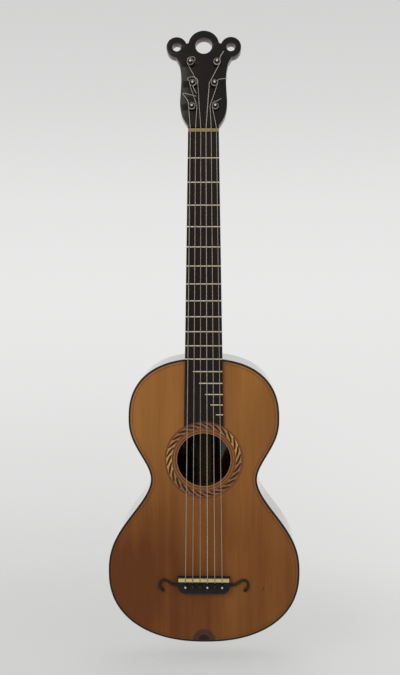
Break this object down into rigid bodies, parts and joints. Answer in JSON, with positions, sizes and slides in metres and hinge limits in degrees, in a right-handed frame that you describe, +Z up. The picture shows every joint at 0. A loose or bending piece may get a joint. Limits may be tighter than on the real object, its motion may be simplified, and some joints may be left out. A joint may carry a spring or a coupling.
{
  "type": "guitar",
  "caption": "Small-bodied six-string romantic guitar with a three-lobed slotless head, friction pegs, rope rosette and a black pin bridge with scrolled arms.",
  "frame": {"origin": "centre of the hanging hole in the head's crown, at half the head's thickness", "axes": "+Z up along the strings towards the head, +Y towards the back, +X towards the thin strings; the soundboard faces -Y"},
  "size_m": [0.2776, 0.1155, 0.8819],
  "materials": {
    "spruce": "satin varnish, aged",
    "rosewood": "gloss",
    "inner_wood": "bare",
    "binding": "satin",
    "inlay": "satin varnish",
    "neck_wood": "satin, stained black",
    "board": "oiled",
    "fret_metal": "worn, polished",
    "bone": "aged bone, satin",
    "ebony": "satin",
    "string": "smooth, translucent"
  },
  "bodies": {
    "body": {"soundboard": "spruce", "rosette": "inlay", "back": "rosewood", "rib_bass": "rosewood", "rib_treble": "rosewood", "binding": "binding", "lining_front": "inner_wood", "lining_back": "inner_wood", "neck_block": "inner_wood", "tail_block": "inner_wood", "top_bar_upper": "inner_wood", "top_bar_lower": "inner_wood", "back_bars": "inner_wood", "neck": "neck_wood", "head": "neck_wood", "fingerboard": "board", "nut": "bone", "saddle": "bone", "bridge": "ebony", "fret_01": "fret_metal", "fret_02": "fret_metal", "fret_03": "fret_metal", "fret_04": "fret_metal", "fret_05": "fret_metal", "fret_06": "fret_metal", "fret_07": "fret_metal", "fret_08": "fret_metal", "fret_09": "fret_metal", "fret_10": "fret_metal", "fret_11": "fret_metal", "fret_12": "fret_metal", "fret_13": "fret_metal", "fret_14": "fret_metal", "fret_15": "fret_metal", "fret_16": "fret_metal", "fret_17": "fret_metal", "string_e6": "string", "string_a5": "string", "string_d4": "string", "string_g3": "string", "string_b2": "string", "string_e1": "string"},
    "tuning_peg_e6": {"peg_e6": "ebony", "winding_e6": "string"},
    "tuning_peg_a5": {"peg_a5": "ebony", "winding_a5": "string"},
    "tuning_peg_d4": {"peg_d4": "ebony", "winding_d4": "string"},
    "tuning_peg_g3": {"peg_g3": "ebony", "winding_g3": "string"},
    "tuning_peg_b2": {"peg_b2": "ebony", "winding_b2": "string"},
    "tuning_peg_e1": {"peg_e1": "ebony", "winding_e1": "string"},
    "pin_e6": {"bridge_pin_e6": "ebony"},
    "pin_a5": {"bridge_pin_a5": "ebony"},
    "pin_d4": {"bridge_pin_d4": "ebony"},
    "pin_g3": {"bridge_pin_g3": "ebony"},
    "pin_b2": {"bridge_pin_b2": "ebony"},
    "pin_e1": {"bridge_pin_e1": "ebony"}
  },
  "joints": [
    {"name": "turn_peg_e6", "type": "hinge", "parent": "body", "child": "tuning_peg_e6", "pos_m": [-0.0165, -0.02758, -0.08646], "axis": [0, -0.9781, 0.2079], "continuous": true},
    {"name": "turn_peg_a5", "type": "hinge", "parent": "body", "child": "tuning_peg_a5", "pos_m": [-0.0155, -0.02057, -0.05349], "axis": [0, -0.9781, 0.2079], "continuous": true},
    {"name": "turn_peg_d4", "type": "hinge", "parent": "body", "child": "tuning_peg_d4", "pos_m": [-0.0189, -0.01415, -0.02327], "axis": [0, -0.9781, 0.2079], "continuous": true},
    {"name": "turn_peg_g3", "type": "hinge", "parent": "body", "child": "tuning_peg_g3", "pos_m": [0.0189, -0.01415, -0.02327], "axis": [0, -0.9781, 0.2079], "continuous": true},
    {"name": "turn_peg_b2", "type": "hinge", "parent": "body", "child": "tuning_peg_b2", "pos_m": [0.0155, -0.02057, -0.05349], "axis": [0, -0.9781, 0.2079], "continuous": true},
    {"name": "turn_peg_e1", "type": "hinge", "parent": "body", "child": "tuning_peg_e1", "pos_m": [0.0165, -0.02758, -0.08646], "axis": [0, -0.9781, 0.2079], "continuous": true},
    {"name": "pull_pin_e6", "type": "slide", "parent": "body", "child": "pin_e6", "axis": [0, -1, 0], "range_m": [0, 0.025]},
    {"name": "pull_pin_a5", "type": "slide", "parent": "body", "child": "pin_a5", "axis": [0, -1, 0], "range_m": [0, 0.025]},
    {"name": "pull_pin_d4", "type": "slide", "parent": "body", "child": "pin_d4", "axis": [0, -1, 0], "range_m": [0, 0.025]},
    {"name": "pull_pin_g3", "type": "slide", "parent": "body", "child": "pin_g3", "axis": [0, -1, 0], "range_m": [0, 0.025]},
    {"name": "pull_pin_b2", "type": "slide", "parent": "body", "child": "pin_b2", "axis": [0, -1, 0], "range_m": [0, 0.025]},
    {"name": "pull_pin_e1", "type": "slide", "parent": "body", "child": "pin_e1", "axis": [0, -1, 0], "range_m": [0, 0.025]}
  ]
}
